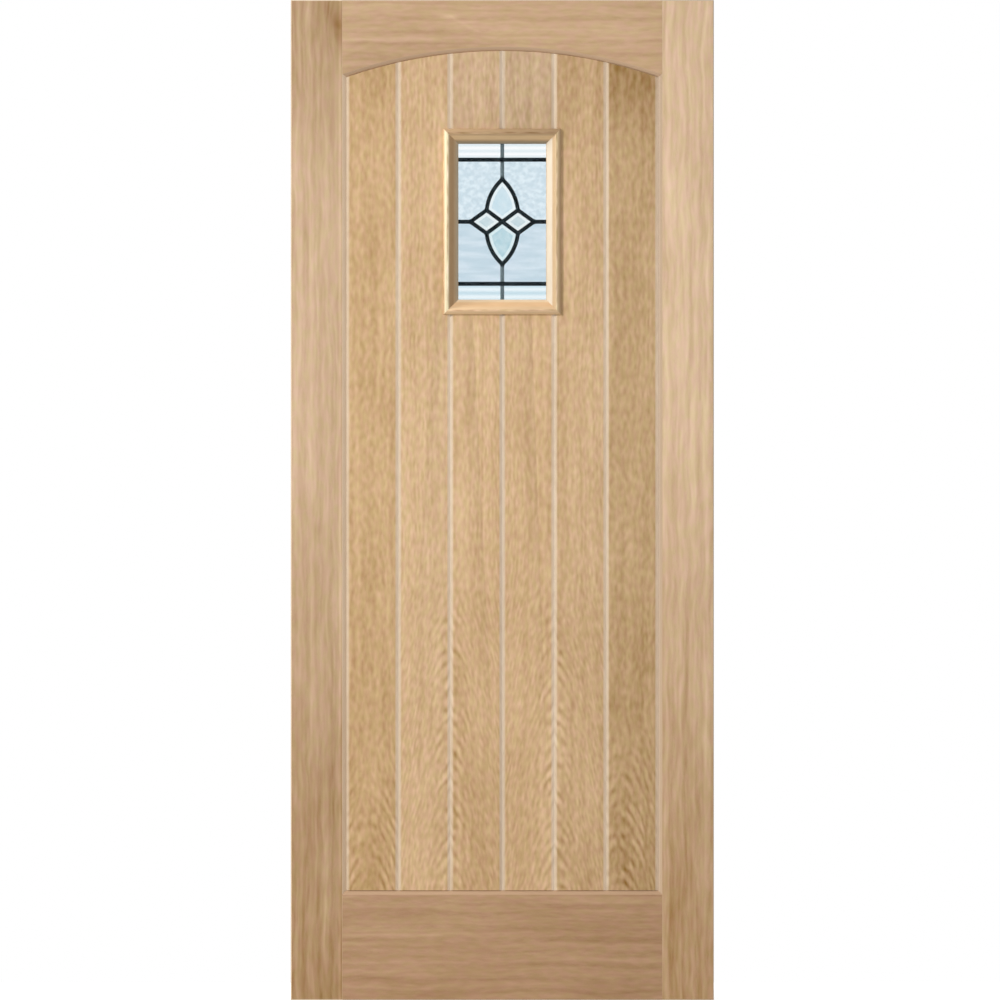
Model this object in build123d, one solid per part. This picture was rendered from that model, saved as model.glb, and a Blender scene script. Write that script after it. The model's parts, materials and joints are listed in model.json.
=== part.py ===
from build123d import *
from math import sqrt
import os

# A panelled oak door leaf with an arched top rail, V-jointed boards and a small leaded window.
# Millimetres. +X is to the right as seen from the front, the front face looks along -Y, +Z is up.
# The origin is at the bottom, in the middle of the width and of the thickness.

# Leaf
door_width = 838.0
door_height = 1981.0
door_thickness = 44.0
outer_arris = 1.5

# Frame of stiles and rails
stile_width = 110.0
bottom_rail_height = 217.0
crown_depth = 100.5
arch_rise = 52.0
bevel_width = 8.0
panel_groove_width = 12.0
panel_groove_depth = 13.0
tongue_end_gap = 2.0
fit_clearance = 0.2

# Tenons and mortices
tenon_thickness = 14.0
tenon_length = 70.0
tenon_margin = 25.0
tenon_spacing = 25.0
mortice_end_gap = 3.0

# Boards
board_count = 6
board_recess = 4.0
board_end_gap = 0.3
v_half_width = 6.0
v_depth = 2.5
board_tongue_width = 10.0
board_tongue_length = 9.0

# Window opening and sealed unit
window_boards = 2
window_height = 341.0
window_drop = 439.0
unit_edge_gap = 3.0
pane_thickness = 4.0
cavity_depth = 16.0
edge_seal_width = 5.0
spacer_width = 7.0

# Beads and their fixings
bead_overlap = 13.5
bead_cover = 16.0
bead_rise = 10.0
bead_nose_width = 10.3
bead_sight_thickness = 2.0
bead_outer_lip = 1.5
bead_crest_rounding = 3.0
bead_fit = 0.5
tape_thickness = 1.5
tape_setback = 2.0
tape_width = 9.0
pin_radius = 0.8
pin_cover = 1.5
pin_bite = 16.0
pin_clearance = 0.05
pin_inset = 45.0

# Blocks that carry and centre the sealed unit
block_length = 30.0
block_inset = 40.0

# Leaded light
came_depth = 6.4
came_face_width = 8.0
came_stem_width = 7.5
came_heart_width = 1.6
came_flange_thickness = 1.2
solder_radius = 5.0
glass_gap = 0.2
bar_height = 123.0
petal_height = 84.0
petal_bow = 6.5
knot_half_width = 31.0
knot_half_height = 23.0
diamond_half_width = 63.0
glass_bevel_width = 8.5
glass_edge_thickness = 1.6

# Sizes that follow from the ones above
half_width = door_width / 2
half_thickness = door_thickness / 2
panel_half = half_width - stile_width
board_pitch = 2 * panel_half / board_count
board_half = half_thickness - board_recess
bevel_depth = board_recess + v_depth
groove_half = panel_groove_width / 2
tongue_half = groove_half - fit_clearance
tongue_length = panel_groove_depth - tongue_end_gap
arch_radius = (panel_half**2 + arch_rise**2) / (2 * arch_rise)
arch_center = door_height - crown_depth - arch_radius
spring_height = door_height - crown_depth - arch_rise
opening_half = window_boards * board_pitch / 2
opening_center = door_height - window_drop
opening_low = opening_center - window_height / 2
opening_high = opening_center + window_height / 2
unit_half_width = opening_half - unit_edge_gap
unit_half_height = window_height / 2 - unit_edge_gap
unit_half_depth = cavity_depth / 2 + pane_thickness
sight_half_width = opening_half - bead_cover
sight_half_height = window_height / 2 - bead_cover
bead_width = bead_cover + bead_overlap
bead_back = unit_half_depth + tape_thickness
light_half_width = unit_half_width - edge_seal_width
light_half_height = unit_half_height - edge_seal_width
glass_half_depth = came_depth / 2 - came_flange_thickness


def stand_up(outline, low, high):
    """Raise a plan outline of (x, y) points from one height to another."""
    face = Polygon(*outline, align=None)
    return Pos(0, 0, low) * extrude(face, amount=high - low, dir=(0, 0, 1))


def thicken(sketch, front, back):
    """Give an elevation sketch of (x, z) shapes its thickness between two depths."""
    face = Pos(0, front, 0) * (Plane.XZ * sketch)
    return extrude(face, amount=back - front, dir=(0, 1, 0))


def run_across(outline, half_length):
    """Run a side outline of (y, z) points across the door, either way from its middle."""
    face = Plane.YZ * Polygon(*outline, align=None)
    return Pos(-half_length, 0, 0) * extrude(face, amount=2 * half_length, dir=(1, 0, 0))


def block(x_low, x_high, y_low, y_high, z_low, z_high):
    """A box between its lowest and highest corners."""
    corner = (Align.MIN, Align.MIN, Align.MIN)
    size = (x_high - x_low, y_high - y_low, z_high - z_low)
    return Pos(x_low, y_low, z_low) * Box(*size, align=corner)


def arch_drum(radius, half_depth):
    """A drum about the arch's centre line, through the thickness of the door."""
    return Pos(0, 0, arch_center) * Rot(90, 0, 0) * Cylinder(radius, 2 * half_depth)


def under_arch(radius, half_depth):
    """The whole space under an arch of this radius, down past the bottom of the door."""
    low = arch_center - door_height
    below = block(-radius, radius, -half_depth, half_depth, low, arch_center)
    return below + arch_drum(radius, half_depth)


def arch_flare(face_side):
    """The cone that cuts the arched bevel on the front (-1) or the rear (+1) face."""
    flare = Cone(arch_radius, arch_radius + bevel_width, bevel_depth)
    depth = face_side * (half_thickness - bevel_depth / 2)
    return Pos(0, depth, arch_center) * Rot(-90 * face_side, 0, 0) * flare


def arris_envelope():
    """The leaf's side outline, with the arrises along its top and bottom edges."""
    inner = half_thickness - outer_arris
    outline = [
        (-inner, 0),
        (inner, 0),
        (half_thickness, outer_arris),
        (half_thickness, door_height - outer_arris),
        (inner, door_height),
        (-inner, door_height),
        (-half_thickness, door_height - outer_arris),
        (-half_thickness, outer_arris),
    ]
    return run_across(outline, half_width)


def top_tenon_heights():
    """The low and high edge of the top rail's one tenon."""
    return [(spring_height + tenon_margin, door_height - tenon_margin)]


def bottom_tenon_heights():
    """The low and high edges of the bottom rail's twin tenons."""
    usable = bottom_rail_height - panel_groove_depth - 2 * tenon_margin
    tenon_height = (usable - tenon_spacing) / 2
    lower = (tenon_margin, tenon_margin + tenon_height)
    upper = (lower[1] + tenon_spacing, lower[1] + tenon_spacing + tenon_height)
    return [lower, upper]


def tenon_pair(low, high):
    """One tenon at each end of a rail."""
    reach = panel_half + tenon_length
    half = tenon_thickness / 2
    right = block(panel_half, reach, -half, half, low, high)
    left = block(-reach, -panel_half, -half, half, low, high)
    return right + left


def mortice(low, high):
    """The left stile's mortice for one tenon, with its clearances."""
    reach = panel_half + tenon_length + mortice_end_gap
    half = tenon_thickness / 2 + fit_clearance
    return block(-reach, -panel_half, -half, half, low - fit_clearance, high + fit_clearance)


def left_stile():
    """A stile with its bevels, panel groove and mortices."""
    outer = -half_width
    inner = -panel_half
    outline = [
        (outer + outer_arris, -half_thickness),
        (inner - bevel_width, -half_thickness),
        (inner, -half_thickness + bevel_depth),
        (inner, -groove_half),
        (inner - panel_groove_depth, -groove_half),
        (inner - panel_groove_depth, groove_half),
        (inner, groove_half),
        (inner, half_thickness - bevel_depth),
        (inner - bevel_width, half_thickness),
        (outer + outer_arris, half_thickness),
        (outer, half_thickness - outer_arris),
        (outer, -half_thickness + outer_arris),
    ]
    stile = stand_up(outline, 0, door_height) & arris_envelope()
    for low, high in top_tenon_heights() + bottom_tenon_heights():
        stile -= mortice(low, high)
    return stile


def rail_blank(low, high):
    """A rail with its ends coped over the stiles' bevels and haunched into their grooves."""
    face_end = panel_half + bevel_width
    haunch_end = panel_half + tongue_length
    bevel_level = half_thickness - bevel_depth
    right = [
        (face_end, -half_thickness),
        (panel_half, -bevel_level),
        (panel_half, -tongue_half),
        (haunch_end, -tongue_half),
        (haunch_end, tongue_half),
        (panel_half, tongue_half),
        (panel_half, bevel_level),
        (face_end, half_thickness),
    ]
    left = [(-x, y) for x, y in reversed(right)]
    return stand_up(right + left, low, high)


def top_rail():
    """The top rail, with its underside arched, bevelled and grooved for the boards."""
    rail = rail_blank(spring_height - panel_groove_depth, door_height)
    rail -= arch_drum(arch_radius, half_thickness)
    rail -= arch_drum(arch_radius + panel_groove_depth, groove_half)
    rail -= arch_flare(-1)
    rail -= arch_flare(1)
    rail &= arris_envelope()
    for low, high in top_tenon_heights():
        rail += tenon_pair(low, high)
    return rail


def bottom_rail():
    """The bottom rail, with its top edge bevelled and grooved for the boards."""
    top = bottom_rail_height
    bevel_level = half_thickness - bevel_depth
    inner = half_thickness - outer_arris
    right = [
        (inner, 0),
        (half_thickness, outer_arris),
        (half_thickness, top - bevel_width),
        (bevel_level, top),
        (groove_half, top),
        (groove_half, top - panel_groove_depth),
    ]
    left = [(-y, z) for y, z in reversed(right)]
    rail = rail_blank(0, top) & run_across(right + left, half_width)
    for low, high in bottom_tenon_heights():
        rail += tenon_pair(low, high)
    return rail


def panel_envelope():
    """The space that the boards fill: their bodies, and their tongues in the frame."""
    top = door_height
    reach = panel_half + tongue_length
    body = block(-panel_half, panel_half, -board_half, board_half, bottom_rail_height, top)
    body &= under_arch(arch_radius - board_end_gap, board_half)
    low = bottom_rail_height - tongue_length
    tongues = block(-reach, reach, -tongue_half, tongue_half, low, top)
    tongues &= under_arch(arch_radius + tongue_length, tongue_half)
    return body + tongues


def window_opening(past_right):
    """The opening through the boards, cut on past its right edge through any tongue there."""
    depth = half_thickness
    right = opening_half + past_right
    return block(-opening_half, right, -depth, depth, opening_low, opening_high)


def board_outline(number):
    """The plan outline of one board, with its V joints, tongue and groove."""
    left = -panel_half + number * board_pitch
    right = left + board_pitch
    edge_level = board_half - v_depth
    tongue = board_tongue_width / 2
    groove = tongue + fit_clearance
    right_side = [(right, -edge_level), (right, -tongue), (right + board_tongue_length, -tongue)]
    if number == board_count - 1:
        reach = panel_half + tongue_length
        right_side = [(right, -edge_level), (right, -tongue_half), (reach, -tongue_half)]
    left_side = [(left, -edge_level), (left, -groove)]
    left_side += [(left + board_tongue_length + tongue_end_gap, -groove)]
    if number == 0:
        reach = -panel_half - tongue_length
        left_side = [(left, -edge_level), (left, -tongue_half), (reach, -tongue_half)]
    front = [(right - v_half_width, -board_half)] + right_side
    front_left = [(left + v_half_width, -board_half)] + left_side
    right_half = front + [(x, -y) for x, y in reversed(front)]
    left_half = front_left + [(x, -y) for x, y in reversed(front_left)]
    return right_half + left_half[::-1]


def boards():
    """The boards by name. A board that the window cuts in two is an upper and a lower piece."""
    envelope = panel_envelope()
    holes = pin_group(pin_radius + pin_clearance, pin_bite + pin_clearance)
    pieces = {}
    for number in range(board_count):
        board = stand_up(board_outline(number), 0, door_height) & envelope
        middle = (number + 0.5) * board_pitch - panel_half
        cut_tongue = board_tongue_length if abs(middle) < opening_half else 0
        board = board - window_opening(cut_tongue) - holes
        parts = board.solids().sort_by(Axis.Z)
        name = f"board_{number + 1}"
        if len(parts) == 1:
            pieces[name] = parts[0]
        else:
            pieces[name + "_lower"] = parts[0]
            pieces[name + "_upper"] = parts[-1]
    return pieces


def bead_outline():
    """A bead's section as (distance out from the sight line, depth in front of mid-thickness)."""
    crest = (bead_width - bead_nose_width, board_half + bead_rise)
    lip = (bead_width, board_half + bead_outer_lip)
    slope = Line((0, bead_back + bead_sight_thickness), crest)
    nose = TangentArc(crest, lip, tangent=(1, 0))
    rest = Polyline(
        lip,
        (bead_width, board_half),
        (bead_cover - bead_fit, board_half),
        (bead_cover - bead_fit, bead_back),
        (0, bead_back),
        (0, bead_back + bead_sight_thickness),
    )
    section = make_face([slope, nose, rest])
    peak = section.vertices().sort_by(Axis.Y)[-1]
    return fillet(peak, bead_crest_rounding)


def bead(half_length, half_span, turn):
    """One mitred front bead, made under the window and turned about its centre to its side."""
    outer_half = half_length + bead_width
    end = Plane((outer_half, 0, -half_span), x_dir=(0, 0, -1), z_dir=(-1, 0, 0))
    bar = extrude(end * bead_outline(), amount=2 * outer_half, dir=(-1, 0, 0))
    mitre = Polygon(
        (-half_length, -half_span),
        (half_length, -half_span),
        (outer_half, -half_span - bead_width),
        (-outer_half, -half_span - bead_width),
        align=None,
    )
    bar &= thicken(mitre, -half_thickness - bead_rise, half_thickness + bead_rise)
    return Pos(0, 0, opening_center) * Rot(0, turn, 0) * bar


def beads():
    """The four front beads and the four rear beads, by name, bored for their pins."""
    holes = pin_group(pin_radius + pin_clearance, pin_bite + pin_clearance)
    sides = {
        "bottom": (sight_half_width, sight_half_height, 0),
        "left": (sight_half_height, sight_half_width, 90),
        "top": (sight_half_width, sight_half_height, 180),
        "right": (sight_half_height, sight_half_width, 270),
    }
    pieces = {}
    for side, (half_length, half_span, turn) in sides.items():
        front = bead(half_length, half_span, turn)
        pieces["front_bead_" + side] = front - holes
        pieces["rear_bead_" + side] = mirror(front, about=Plane.XZ) - holes
    return pieces


def pin_places():
    """Where the bead pins stand, as (x, z), on all four sides of the window."""
    off_edge = (v_half_width + bead_overlap) / 2
    side_x = opening_half + off_edge
    end_z = window_height / 2 + off_edge
    side_reach = window_height / 2 - pin_inset
    end_reach = opening_half - pin_inset
    places = []
    for sign in (-1, 1):
        places += [(sign * side_x, opening_center + step * side_reach) for step in (-1, 0, 1)]
        places += [(step * end_reach, opening_center + sign * end_z) for step in (-1, 1)]
    return places


def pin_head_depth():
    """How far a pin's head lies in front of mid-thickness, set below the bead's nose."""
    drop = bead_rise - bead_outer_lip
    nose_radius = (bead_nose_width**2 + drop**2) / (2 * drop)
    past_crest = bead_nose_width - (bead_overlap - v_half_width) / 2
    fall = nose_radius - sqrt(nose_radius**2 - past_crest**2)
    return board_half + bead_rise - fall - pin_cover


def pin_group(radius, bite):
    """All the front and rear pins, or their holes, with a given radius and bite in the boards."""
    head = pin_head_depth()
    tip = board_half - bite
    shank = Cylinder(radius, head - tip)
    pins = []
    for x, z in pin_places():
        for face_side in (-1, 1):
            middle = face_side * (head + tip) / 2
            pins.append(Pos(x, middle, z) * Rot(90, 0, 0) * shank)
    return pins


def pins(face_side):
    """The pins of the front (-1) or rear (+1) beads, as separate solids."""
    group = pin_group(pin_radius, pin_bite)
    return Compound([pin for pin in group if pin.center().Y * face_side > 0])


def ring(half_width_out, half_height_out, width, front, back):
    """A rectangular ring around the window's centre."""
    outer = Rectangle(2 * half_width_out, 2 * half_height_out)
    inner = Rectangle(2 * (half_width_out - width), 2 * (half_height_out - width))
    return thicken(Pos(0, opening_center) * (outer - inner), front, back)


def glazing_tape(face_side):
    """The tape between a pane and its beads."""
    across = sight_half_width + tape_setback + tape_width
    up = sight_half_height + tape_setback + tape_width
    depths = sorted((face_side * unit_half_depth, face_side * bead_back))
    return ring(across, up, tape_width, *depths)


def pane(face_side):
    """A clear outer pane of the sealed unit."""
    depths = sorted((face_side * cavity_depth / 2, face_side * unit_half_depth))
    sheet = Rectangle(2 * unit_half_width, 2 * unit_half_height)
    return thicken(Pos(0, opening_center) * sheet, *depths)


def spacer(face_side):
    """The bent spacer bar between a pane and the leaded light."""
    depths = sorted((face_side * came_depth / 2, face_side * cavity_depth / 2))
    return ring(light_half_width, light_half_height, spacer_width, *depths)


def edge_seal():
    """The seal around the edge of the unit, between the two panes."""
    half_cavity = cavity_depth / 2
    return ring(unit_half_width, unit_half_height, edge_seal_width, -half_cavity, half_cavity)


def unit_block(x, z, across, up):
    """One block in the gap around the sealed unit, by its centre and its size."""
    half_depth = unit_half_depth
    return block(
        x - across / 2, x + across / 2, -half_depth, half_depth, z - up / 2, z + up / 2
    )


def setting_blocks():
    """The two blocks that carry the unit on the bottom of the opening."""
    z = opening_low + unit_edge_gap / 2
    x = opening_half - block_inset
    return Compound([unit_block(side * x, z, block_length, unit_edge_gap) for side in (-1, 1)])


def location_blocks():
    """The blocks that centre the unit at its sides and top."""
    side_x = opening_half - unit_edge_gap / 2
    side_z = window_height / 2 - block_inset
    top_z = opening_high - unit_edge_gap / 2
    blocks = []
    for side in (-1, 1):
        for end in (-1, 1):
            z = opening_center + end * side_z
            blocks.append(unit_block(side * side_x, z, unit_edge_gap, block_length))
        x = side * (opening_half - block_inset)
        blocks.append(unit_block(x, top_z, block_length, unit_edge_gap))
    return Compound(blocks)


def lead_points():
    """The joints of the lead lines on the right-hand side, measured from the window's centre."""
    return {
        "tip": (0, petal_height),
        "knot": (knot_half_width, knot_half_height),
        "corner": (diamond_half_width, 0),
        "side": (light_half_width, 0),
        "bar": (light_half_width, bar_height),
        "bar_middle": (0, bar_height),
        "top": (0, light_half_height),
    }


def bowed_strip(start, end, bow, width):
    """A lead line bowed to the right of its start-to-end chord, as a flat strip."""
    path = SagittaArc(start, end, bow)
    return trace(path, line_width=width)


def straight_strip(start, end, width):
    """A straight lead line as a flat strip."""
    return trace(Line(start, end), line_width=width)


def lead_quarter(figure_width, stem_width):
    """The lead lines in the upper right quarter of the light."""
    at = lead_points()
    strips = straight_strip((0, 0), at["knot"], figure_width)
    strips += straight_strip(at["knot"], at["corner"], figure_width)
    strips += straight_strip(at["corner"], at["side"], figure_width)
    strips += straight_strip(at["bar_middle"], at["bar"], figure_width)
    strips += straight_strip(at["tip"], at["top"], stem_width)
    strips += bowed_strip(at["knot"], at["tip"], -petal_bow, figure_width)
    return strips


def lead_joints(radius):
    """Round spots where the lead lines meet, in the upper right quarter."""
    at = lead_points()
    spots = Sketch()
    for place in [(0, 0), at["tip"], at["knot"], at["corner"], at["bar_middle"]]:
        spots += Pos(*place) * Circle(radius)
    return spots


def four_ways(quarter):
    """A quarter pattern repeated across the window's two centre lines."""
    upper = quarter + mirror(quarter, about=Plane.YZ)
    return upper + mirror(upper, about=Plane.XZ)


def lead_web(figure_width, stem_width, joint_radius):
    """The whole pattern of lead lines with their joints, as a flat shape."""
    quarter = lead_quarter(figure_width, stem_width) + lead_joints(joint_radius)
    sheet = Rectangle(2 * light_half_width, 2 * light_half_height)
    return four_ways(quarter) & sheet


def border(width):
    """The border came's flat outline, around the edge of the light."""
    outer = Rectangle(2 * light_half_width, 2 * light_half_height)
    return outer - Rectangle(2 * (light_half_width - width), 2 * (light_half_height - width))


def lead_cames():
    """The soldered net of cames: two face flanges with a narrow heart between them."""
    face = lead_web(came_face_width, came_stem_width, solder_radius) + border(came_face_width)
    heart = lead_web(came_heart_width, came_heart_width, came_heart_width / 2)
    heart += border(came_heart_width)
    face = Pos(0, opening_center) * face
    heart = Pos(0, opening_center) * heart
    front = thicken(face, -came_depth / 2, -glass_half_depth)
    rear = thicken(face, glass_half_depth, came_depth / 2)
    return front + thicken(heart, -glass_half_depth, glass_half_depth) + rear


def glass_names():
    """A point inside each piece of glass, from the window's centre, by the piece's name."""
    strip_z = (bar_height + light_half_height) / 2
    pane_x = (diamond_half_width + light_half_width) / 2
    pane_z = (petal_height + knot_half_height) / 2
    diamond_x = diamond_half_width / 2
    names = {
        "petal_upper": (0, pane_z),
        "petal_lower": (0, -pane_z),
        "diamond_left": (-diamond_x, 0),
        "diamond_right": (diamond_x, 0),
    }
    for side, sign in (("left", -1), ("right", 1)):
        names["strip_top_" + side] = (sign * pane_x, strip_z)
        names["strip_bottom_" + side] = (sign * pane_x, -strip_z)
        names["pane_upper_" + side] = (sign * pane_x, pane_z)
        names["pane_lower_" + side] = (sign * pane_x, -pane_z)
    return names


def bevelled_glass(face):
    """A thick piece of glass with a wide bevel around its front face."""
    rise = 2 * glass_half_depth - glass_edge_thickness
    front = -glass_half_depth
    base = thicken(face, front + rise, glass_half_depth)
    slope = Plane((0, front + rise, 0), x_dir=(1, 0, 0), z_dir=(0, -1, 0))
    crown = extrude(slope * face, amount=rise, taper=bevel_angle(rise))
    return base + crown


def bevel_angle(rise):
    """The taper, in degrees, that brings a glass bevel to its width over its rise."""
    return 90 - Vector(1, 0, 0).get_angle(Vector(glass_bevel_width, rise, 0))


def leaded_glass():
    """The pieces of glass in the leaded light, by name."""
    gap_width = came_heart_width + 2 * glass_gap
    sheet = Rectangle(2 * light_half_width, 2 * light_half_height)
    cut = sheet - lead_web(gap_width, gap_width, gap_width / 2) - border(gap_width)
    faces = cut.faces()
    pieces = {}
    for name, place in glass_names().items():
        face = min(faces, key=lambda candidate: candidate.distance_to(Vertex(*place, 0)))
        face = Pos(0, opening_center) * Sketch([face])
        if name.startswith(("petal", "diamond")):
            pieces["glass_" + name] = bevelled_glass(face)
        else:
            pieces["glass_" + name] = thicken(face, -glass_half_depth, glass_half_depth)
    return pieces


def door():
    """Every piece of the door, by name."""
    stile = left_stile()
    pieces = {
        "left_stile": stile,
        "right_stile": mirror(stile, about=Plane.YZ),
        "top_rail": top_rail(),
        "bottom_rail": bottom_rail(),
    }
    pieces.update(boards())
    pieces.update(beads())
    for side, sign in (("front", -1), ("rear", 1)):
        pieces[side + "_bead_pins"] = pins(sign)
        pieces[side + "_glazing_tape"] = glazing_tape(sign)
        pieces[side + "_pane"] = pane(sign)
        pieces[side + "_spacer"] = spacer(sign)
    pieces["edge_seal"] = edge_seal()
    pieces["setting_blocks"] = setting_blocks()
    pieces["location_blocks"] = location_blocks()
    pieces["lead_cames"] = lead_cames()
    pieces.update(leaded_glass())
    return pieces


os.makedirs("parts", exist_ok=True)
for name, piece in door().items():
    export_step(piece, f"parts/{name}.step")
    print(name, len(piece.solids()), round(piece.volume))
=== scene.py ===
# %% [markdown]
# # An oak door leaf with an arched top rail and a small leaded window
#
# The door stands upright, its front face towards -Y, and the units are metres. Its construction is already
# made: stiles, rails, boards, beads, lead and glass arrive here as solid pieces in their right places.
# This lesson gives each of them its finish, remakes the lead net with rounded cames and solder, and ends
# with the light, the floor and the camera.

# %% Load the door's pieces
import json
import math

import bmesh
import bpy
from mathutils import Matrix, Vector

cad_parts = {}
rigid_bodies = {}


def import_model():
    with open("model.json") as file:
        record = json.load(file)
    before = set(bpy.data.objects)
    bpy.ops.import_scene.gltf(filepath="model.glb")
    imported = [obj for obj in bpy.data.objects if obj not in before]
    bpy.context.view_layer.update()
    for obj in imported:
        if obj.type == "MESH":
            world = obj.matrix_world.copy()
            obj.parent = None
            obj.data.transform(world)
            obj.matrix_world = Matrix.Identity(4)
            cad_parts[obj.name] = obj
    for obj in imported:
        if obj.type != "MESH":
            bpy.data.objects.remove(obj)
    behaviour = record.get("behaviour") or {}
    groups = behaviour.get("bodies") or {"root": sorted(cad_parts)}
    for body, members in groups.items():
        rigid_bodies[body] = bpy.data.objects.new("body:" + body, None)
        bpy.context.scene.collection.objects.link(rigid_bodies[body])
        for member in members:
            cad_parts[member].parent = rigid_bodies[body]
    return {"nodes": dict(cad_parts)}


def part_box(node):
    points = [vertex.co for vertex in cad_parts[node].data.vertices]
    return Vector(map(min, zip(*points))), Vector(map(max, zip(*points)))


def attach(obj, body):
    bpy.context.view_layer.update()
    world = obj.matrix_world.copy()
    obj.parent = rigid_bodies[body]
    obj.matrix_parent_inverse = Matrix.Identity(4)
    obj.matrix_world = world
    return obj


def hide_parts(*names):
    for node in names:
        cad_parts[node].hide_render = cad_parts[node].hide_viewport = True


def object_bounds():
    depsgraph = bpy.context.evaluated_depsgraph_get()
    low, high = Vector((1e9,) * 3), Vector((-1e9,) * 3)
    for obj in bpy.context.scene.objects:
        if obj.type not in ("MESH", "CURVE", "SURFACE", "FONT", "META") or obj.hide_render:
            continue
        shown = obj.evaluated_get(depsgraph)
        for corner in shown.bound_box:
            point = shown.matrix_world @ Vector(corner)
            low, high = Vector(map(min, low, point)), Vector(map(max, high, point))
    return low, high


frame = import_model()
cad_box = [list(corner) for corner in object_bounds()]
print("pieces:", len(frame["nodes"]), "box:", cad_box)

# %% [markdown]
# ## A few words for wiring nodes
#
# Wood needs many small sums: a distance, a stretch, a soft step. Wiring each by hand hides what they say,
# so one small helper adds a node, feeds its inputs with numbers or with other nodes, and hands back the
# output. Every finish below is written with it.


# %% The wiring helper
class Wiring:
    """Adds nodes to one tree in few words."""

    def __init__(self, tree):
        self.tree = tree

    def feed(self, socket, value):
        """Set an input to a number or a colour, or link it to another node's output."""
        if isinstance(value, bpy.types.NodeSocket):
            self.tree.links.new(value, socket)
        else:
            socket.default_value = value

    def node(self, kind, inputs=None, **settings):
        """A node of this kind with its settings and inputs."""
        made = self.tree.nodes.new(kind)
        for name, value in settings.items():
            setattr(made, name, value)
        for name, value in (inputs or {}).items():
            self.feed(made.inputs[name], value)
        return made

    def sum(self, operation, *values):
        """One step of arithmetic."""
        made = self.node("ShaderNodeMath", operation=operation)
        for socket, value in zip(made.inputs, values):
            self.feed(socket, value)
        return made.outputs[0]

    def vector(self, x, y, z):
        """Three numbers as one vector."""
        return self.node("ShaderNodeCombineXYZ", {0: x, 1: y, 2: z}).outputs[0]

    def step(self, value, low, high, bottom=0.0, top=1.0):
        """A soft step from bottom to top while the value goes from low to high."""
        made = self.node("ShaderNodeMapRange", interpolation_type="SMOOTHSTEP")
        for name, number in zip(("Value", "From Min", "From Max", "To Min", "To Max"),
                                (value, low, high, bottom, top)):
            self.feed(made.inputs[name], number)
        return made.outputs[0]

    def noise(self, place, detail=2.0, roughness=0.5):
        """Noise whose cells are one unit long in each direction of the place."""
        inputs = {"Vector": place, "Scale": 1.0, "Detail": detail, "Roughness": roughness}
        return self.node("ShaderNodeTexNoise", inputs, normalize=True).outputs[0]

    def blend(self, factor, first, second, way="MIX"):
        """One colour over another."""
        made = self.node("ShaderNodeMix", data_type="RGBA", blend_type=way)
        self.feed(made.inputs[0], factor)
        self.feed(made.inputs[6], first)
        self.feed(made.inputs[7], second)
        return made.outputs[2]

    def bump(self, shader, height, strength, distance):
        """Let a height raise the surface of the shader."""
        made = self.node("ShaderNodeBump", {"Height": height, "Strength": strength, "Distance": distance})
        self.feed(shader.inputs["Normal"], made.outputs[0])


def linear(red, green, blue):
    """A colour as a paint chart gives it, from 0 to 255, turned into the light it reflects."""
    shares = [value / 255 for value in (red, green, blue)]
    return tuple(s / 12.92 if s <= 0.04045 else ((s + 0.055) / 1.055) ** 2.4 for s in shares) + (1.0,)


# %% [markdown]
# ## Oak that is cut from a tree
#
# A tree's growth rings are cones around its middle, the pith. Where a saw passes beside the pith, the
# rings come out as nested arches, and where it passes further off, as straight lines. An image would
# repeat and would not match at the edges. Here every point of the wood gets its ring number from its
# distance to the pith, so faces, edges and end grain agree, and each board only says where its pith lies.
#
# Pores and fibres are noise that is stretched along the grain. The flecks also read the ring number, so
# they follow the arches.

# %% The oak figure, as a group of nodes
MM = 0.001


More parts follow.
